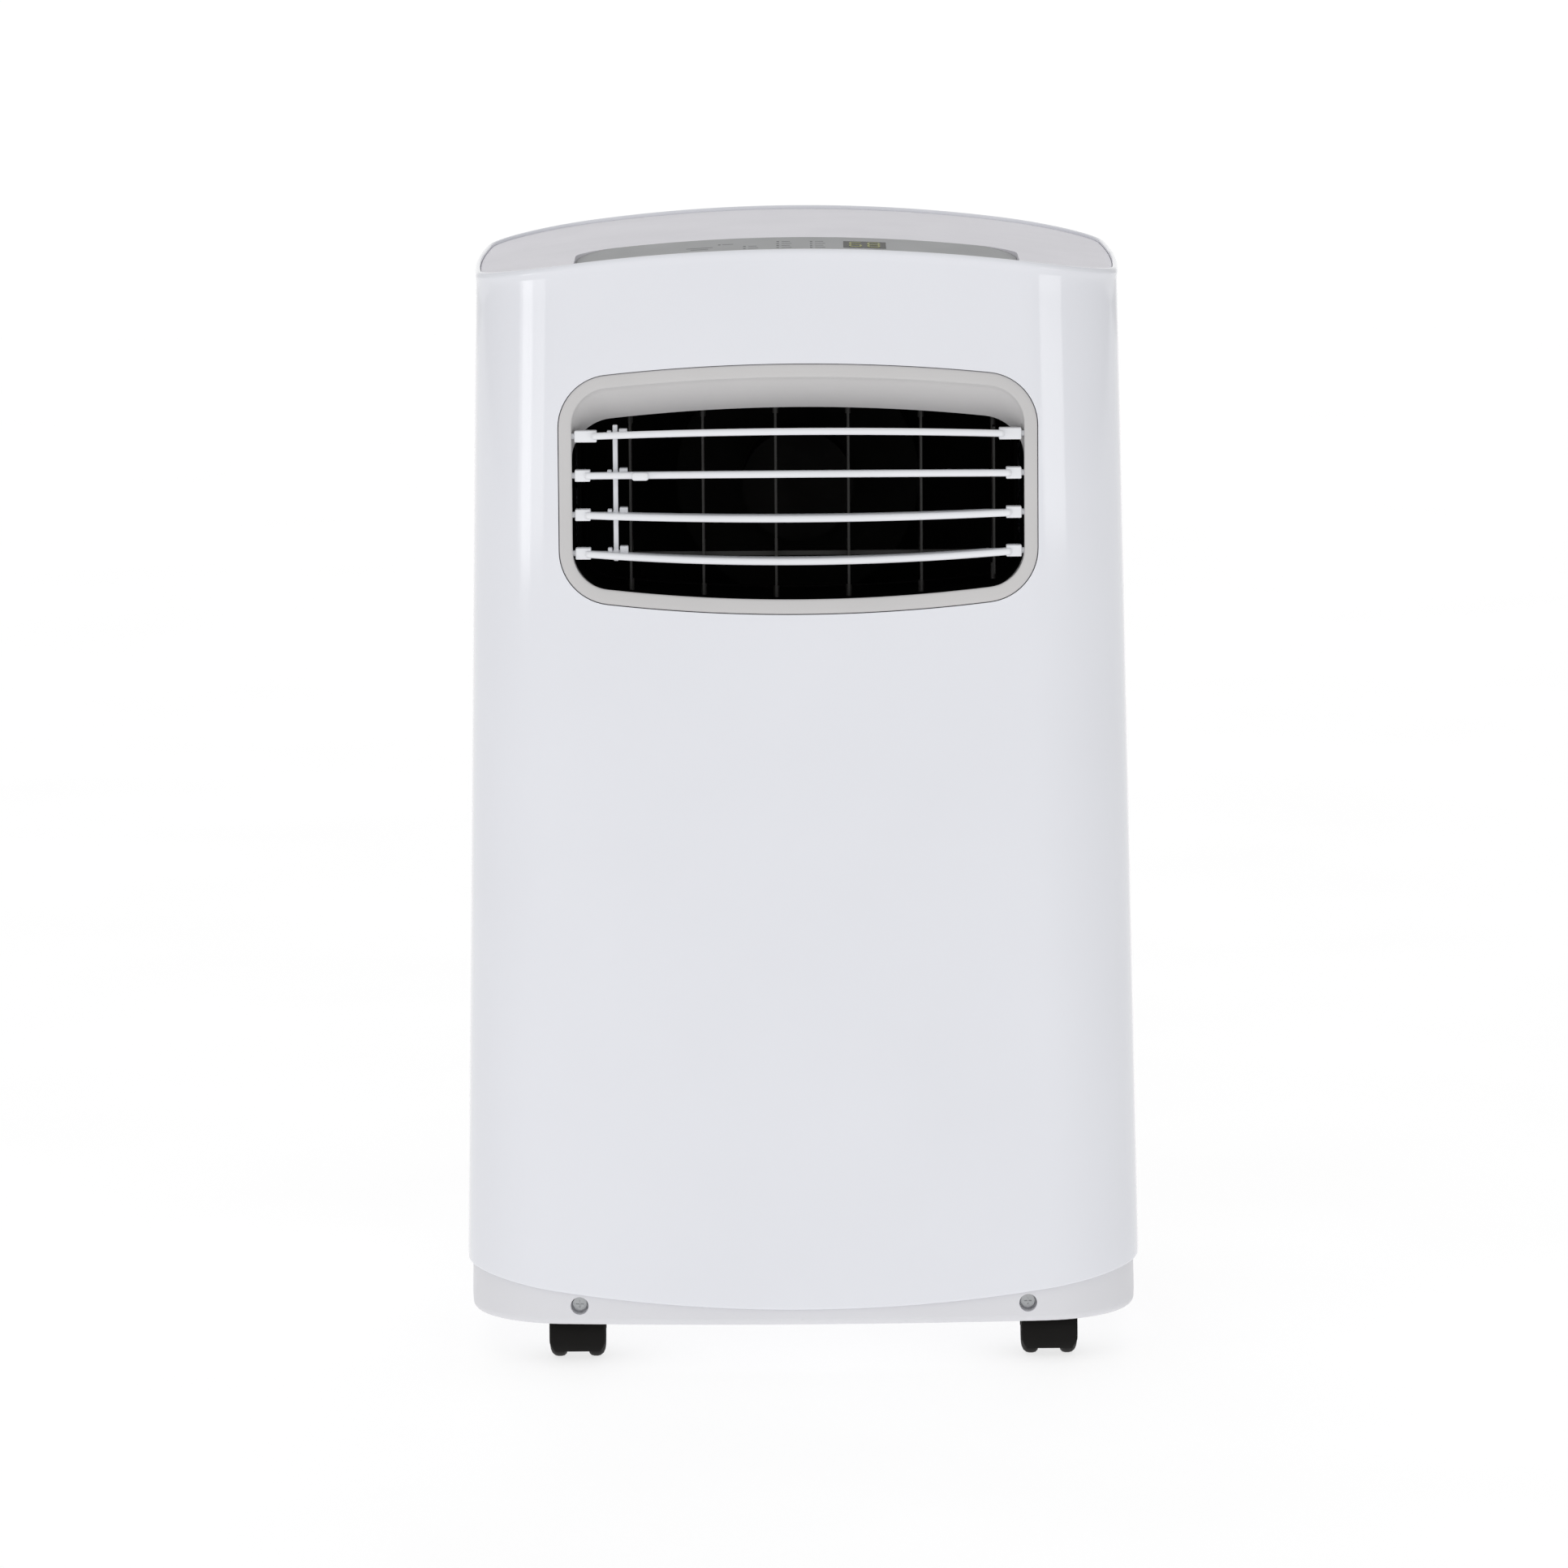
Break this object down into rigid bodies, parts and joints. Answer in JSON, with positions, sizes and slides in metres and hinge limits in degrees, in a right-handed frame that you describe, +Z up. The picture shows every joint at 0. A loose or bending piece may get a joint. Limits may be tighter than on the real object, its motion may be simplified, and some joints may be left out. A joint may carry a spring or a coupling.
{
  "type": "portable air conditioner",
  "caption": "Upright portable air conditioner on casters with a louvered front air outlet, top controls, rear grilles and a hose collar.",
  "frame": {"origin": "on the floor under the middle of the machine", "axes": "+X to the right seen from the front, +Y from front to back, +Z up"},
  "size_m": [0.4686, 0.3802, 0.7718],
  "materials": {
    "casing_white": "gloss",
    "base_white": "satin",
    "cover_grey": "satin",
    "panel_grey": "satin",
    "key_grey": "satin",
    "display_black": "gloss",
    "bezel_grey": "satin",
    "louver_white": "satin",
    "duct_black": "satin",
    "grille_white": "satin",
    "filter_mesh": "matte",
    "caster_black": "satin",
    "wheel_black": "satin",
    "screw_steel": "satin",
    "drain_rubber": "matte",
    "coil_aluminium": "satin",
    "housing_plastic": "matte",
    "motor_metal": "satin",
    "compressor_black": "satin",
    "pipe_copper": "satin",
    "capacitor_metal": "satin"
  },
  "bodies": {
    "case": {"front_panel": "casing_white", "rear_case": "casing_white", "base_tray": "base_white", "top_cover": "cover_grey", "control_panel": "panel_grey", "display_window": "display_black", "outlet_bezel": "bezel_grey", "outlet_duct": "duct_black", "lower_grille": "grille_white", "hose_collar": "grille_white", "cord_gland": "drain_rubber", "mid_deck": "housing_plastic", "evaporator_coil": "coil_aluminium", "evaporator_scroll": "housing_plastic", "evaporator_motor": "motor_metal", "condenser_coil": "coil_aluminium", "condenser_scroll": "housing_plastic", "condenser_motor": "motor_metal", "compressor": "compressor_black", "refrigerant_pipes": "pipe_copper", "control_box": "housing_plastic", "run_capacitor": "capacitor_metal", "slinger_motor": "motor_metal", "float_switch": "housing_plastic", "front_screws": "screw_steel", "rear_screws": "screw_steel"},
    "louver_1": {"louver_1": "louver_white"},
    "louver_2": {"louver_2": "louver_white"},
    "louver_3": {"louver_3": "louver_white"},
    "louver_4": {"louver_4": "louver_white"},
    "louver_link": {"louver_link": "louver_white"},
    "vane_1": {"vane_1": "duct_black"},
    "vane_2": {"vane_2": "duct_black"},
    "vane_3": {"vane_3": "duct_black"},
    "vane_4": {"vane_4": "duct_black"},
    "vane_5": {"vane_5": "duct_black"},
    "vane_6": {"vane_6": "duct_black"},
    "vane_tie_bar": {"vane_tie_bar": "duct_black"},
    "key_sleep": {"key_sleep": "key_grey"},
    "key_speed": {"key_speed": "key_grey"},
    "key_timer": {"key_timer": "key_grey"},
    "key_mode": {"key_mode": "key_grey"},
    "key_cooler": {"key_cooler": "key_grey"},
    "key_warmer": {"key_warmer": "key_grey"},
    "key_power": {"key_power": "key_grey"},
    "caster_front_left_swivel": {"caster_front_left_hood": "caster_black"},
    "caster_front_left_wheelset": {"caster_front_left_wheels": "wheel_black"},
    "caster_front_right_swivel": {"caster_front_right_hood": "caster_black"},
    "caster_front_right_wheelset": {"caster_front_right_wheels": "wheel_black"},
    "caster_rear_left_swivel": {"caster_rear_left_hood": "caster_black"},
    "caster_rear_left_wheelset": {"caster_rear_left_wheels": "wheel_black"},
    "caster_rear_right_swivel": {"caster_rear_right_hood": "caster_black"},
    "caster_rear_right_wheelset": {"caster_rear_right_wheels": "wheel_black"},
    "upper_intake": {"upper_grille": "grille_white", "upper_filter": "filter_mesh"},
    "drain_cap_upper": {"drain_cap_upper": "drain_rubber"},
    "drain_cap_lower": {"drain_cap_lower": "drain_rubber"},
    "evaporator_fan": {"evaporator_fan": "housing_plastic"},
    "condenser_fan": {"condenser_fan": "housing_plastic"},
    "slinger_wheel": {"slinger_wheel": "housing_plastic"}
  },
  "joints": [
    {"name": "louver_1_tilt", "type": "hinge", "parent": "case", "child": "louver_1", "pos_m": [0, -0.172, 0.6385], "axis": [1, 0, 0], "range_deg": [-28, 28]},
    {"name": "louver_2_tilt", "type": "hinge", "parent": "case", "child": "louver_2", "pos_m": [0, -0.172, 0.612], "axis": [1, 0, 0], "range_deg": [-28, 28]},
    {"name": "louver_3_tilt", "type": "hinge", "parent": "case", "child": "louver_3", "pos_m": [0, -0.172, 0.5855], "axis": [1, 0, 0], "range_deg": [-28, 28]},
    {"name": "louver_4_tilt", "type": "hinge", "parent": "case", "child": "louver_4", "pos_m": [0, -0.172, 0.5594], "axis": [1, 0, 0], "range_deg": [-28, 28]},
    {"name": "louver_link_pivot", "type": "hinge", "parent": "louver_2", "child": "louver_link", "pos_m": [-0.123, -0.164, 0.612], "axis": [1, 0, 0], "range_deg": [-28, 28]},
    {"name": "vane_1_swing", "type": "hinge", "parent": "case", "child": "vane_1", "pos_m": [-0.1137, -0.118, 0.592], "axis": [0, 0, 1], "range_deg": [-28, 28]},
    {"name": "vane_2_swing", "type": "hinge", "parent": "case", "child": "vane_2", "pos_m": [-0.0644, -0.118, 0.592], "axis": [0, 0, 1], "range_deg": [-28, 28]},
    {"name": "vane_3_swing", "type": "hinge", "parent": "case", "child": "vane_3", "pos_m": [-0.0151, -0.118, 0.592], "axis": [0, 0, 1], "range_deg": [-28, 28]},
    {"name": "vane_4_swing", "type": "hinge", "parent": "case", "child": "vane_4", "pos_m": [0.0342, -0.118, 0.592], "axis": [0, 0, 1], "range_deg": [-28, 28]},
    {"name": "vane_5_swing", "type": "hinge", "parent": "case", "child": "vane_5", "pos_m": [0.0835, -0.118, 0.592], "axis": [0, 0, 1], "range_deg": [-28, 28]},
    {"name": "vane_6_swing", "type": "hinge", "parent": "case", "child": "vane_6", "pos_m": [0.1328, -0.118, 0.592], "axis": [0, 0, 1], "range_deg": [-28, 28]},
    {"name": "vane_tie_pivot", "type": "hinge", "parent": "vane_3", "child": "vane_tie_bar", "pos_m": [-0.0151, -0.106, 0.552], "axis": [0, 0, 1], "range_deg": [-28, 28]},
    {"name": "key_sleep_press", "type": "slide", "parent": "case", "child": "key_sleep", "axis": [0, 0.1561, -0.9877], "range_m": [0, 0.0008], "stiffness_N_per_m": 500},
    {"name": "key_speed_press", "type": "slide", "parent": "case", "child": "key_speed", "axis": [0, 0.1561, -0.9877], "range_m": [0, 0.0008], "stiffness_N_per_m": 500},
    {"name": "key_timer_press", "type": "slide", "parent": "case", "child": "key_timer", "axis": [0, 0.1561, -0.9877], "range_m": [0, 0.0008], "stiffness_N_per_m": 500},
    {"name": "key_mode_press", "type": "slide", "parent": "case", "child": "key_mode", "axis": [0, 0.1561, -0.9877], "range_m": [0, 0.0008], "stiffness_N_per_m": 500},
    {"name": "key_cooler_press", "type": "slide", "parent": "case", "child": "key_cooler", "axis": [0, 0.1561, -0.9877], "range_m": [0, 0.0008], "stiffness_N_per_m": 500},
    {"name": "key_warmer_press", "type": "slide", "parent": "case", "child": "key_warmer", "axis": [0, 0.1561, -0.9877], "range_m": [0, 0.0008], "stiffness_N_per_m": 500},
    {"name": "key_power_press", "type": "slide", "parent": "case", "child": "key_power", "axis": [0, 0.1561, -0.9877], "range_m": [0, 0.0008], "stiffness_N_per_m": 500},
    {"name": "caster_front_left_swivel_turn", "type": "hinge", "parent": "case", "child": "caster_front_left_swivel", "pos_m": [-0.1555, -0.14, 0.05], "axis": [0, 0, 1], "continuous": true},
    {"name": "caster_front_left_roll", "type": "hinge", "parent": "caster_front_left_swivel", "child": "caster_front_left_wheelset", "pos_m": [-0.1555, -0.134, 0.0175], "axis": [1, 0, 0], "continuous": true},
    {"name": "caster_front_right_swivel_turn", "type": "hinge", "parent": "case", "child": "caster_front_right_swivel", "pos_m": [0.1685, -0.128, 0.05], "axis": [0, 0, 1], "continuous": true},
    {"name": "caster_front_right_roll", "type": "hinge", "parent": "caster_front_right_swivel", "child": "caster_front_right_wheelset", "pos_m": [0.1685, -0.134, 0.0175], "axis": [1, 0, 0], "continuous": true},
    {"name": "caster_rear_left_swivel_turn", "type": "hinge", "parent": "case", "child": "caster_rear_left_swivel", "pos_m": [-0.162, 0.128, 0.05], "axis": [0, 0, 1], "continuous": true},
    {"name": "caster_rear_left_roll", "type": "hinge", "parent": "caster_rear_left_swivel", "child": "caster_rear_left_wheelset", "pos_m": [-0.162, 0.134, 0.0175], "axis": [1, 0, 0], "continuous": true},
    {"name": "caster_rear_right_swivel_turn", "type": "hinge", "parent": "case", "child": "caster_rear_right_swivel", "pos_m": [0.162, 0.128, 0.05], "axis": [0, 0, 1], "continuous": true},
    {"name": "caster_rear_right_roll", "type": "hinge", "parent": "caster_rear_right_swivel", "child": "caster_rear_right_wheelset", "pos_m": [0.162, 0.134, 0.0175], "axis": [1, 0, 0], "continuous": true},
    {"name": "upper_intake_pull", "type": "slide", "parent": "case", "child": "upper_intake", "axis": [0, 1, 0], "range_m": [0, 0.05]},
    {"name": "drain_cap_upper_pull", "type": "slide", "parent": "case", "child": "drain_cap_upper", "axis": [0, 1, 0], "range_m": [0, 0.03]},
    {"name": "drain_cap_lower_pull", "type": "slide", "parent": "case", "child": "drain_cap_lower", "axis": [0, 1, 0], "range_m": [0, 0.03]},
    {"name": "evaporator_fan_spin", "type": "hinge", "parent": "case", "child": "evaporator_fan", "pos_m": [0, 0.02, 0.595], "axis": [0, 1, 0], "continuous": true},
    {"name": "condenser_fan_spin", "type": "hinge", "parent": "case", "child": "condenser_fan", "pos_m": [0, 0.02, 0.195], "axis": [0, 1, 0], "continuous": true},
    {"name": "slinger_wheel_spin", "type": "hinge", "parent": "case", "child": "slinger_wheel", "pos_m": [0.165, 0.086, 0.092], "axis": [0, 1, 0], "continuous": true}
  ],
  "couplings": [
    {"joint": "louver_1_tilt", "follows": "louver_2_tilt", "ratio": 1},
    {"joint": "louver_3_tilt", "follows": "louver_2_tilt", "ratio": 1},
    {"joint": "louver_4_tilt", "follows": "louver_2_tilt", "ratio": 1},
    {"joint": "louver_link_pivot", "follows": "louver_2_tilt", "ratio": -1},
    {"joint": "vane_1_swing", "follows": "vane_3_swing", "ratio": 1},
    {"joint": "vane_2_swing", "follows": "vane_3_swing", "ratio": 1},
    {"joint": "vane_4_swing", "follows": "vane_3_swing", "ratio": 1},
    {"joint": "vane_5_swing", "follows": "vane_3_swing", "ratio": 1},
    {"joint": "vane_6_swing", "follows": "vane_3_swing", "ratio": 1},
    {"joint": "vane_tie_pivot", "follows": "vane_3_swing", "ratio": -1}
  ]
}
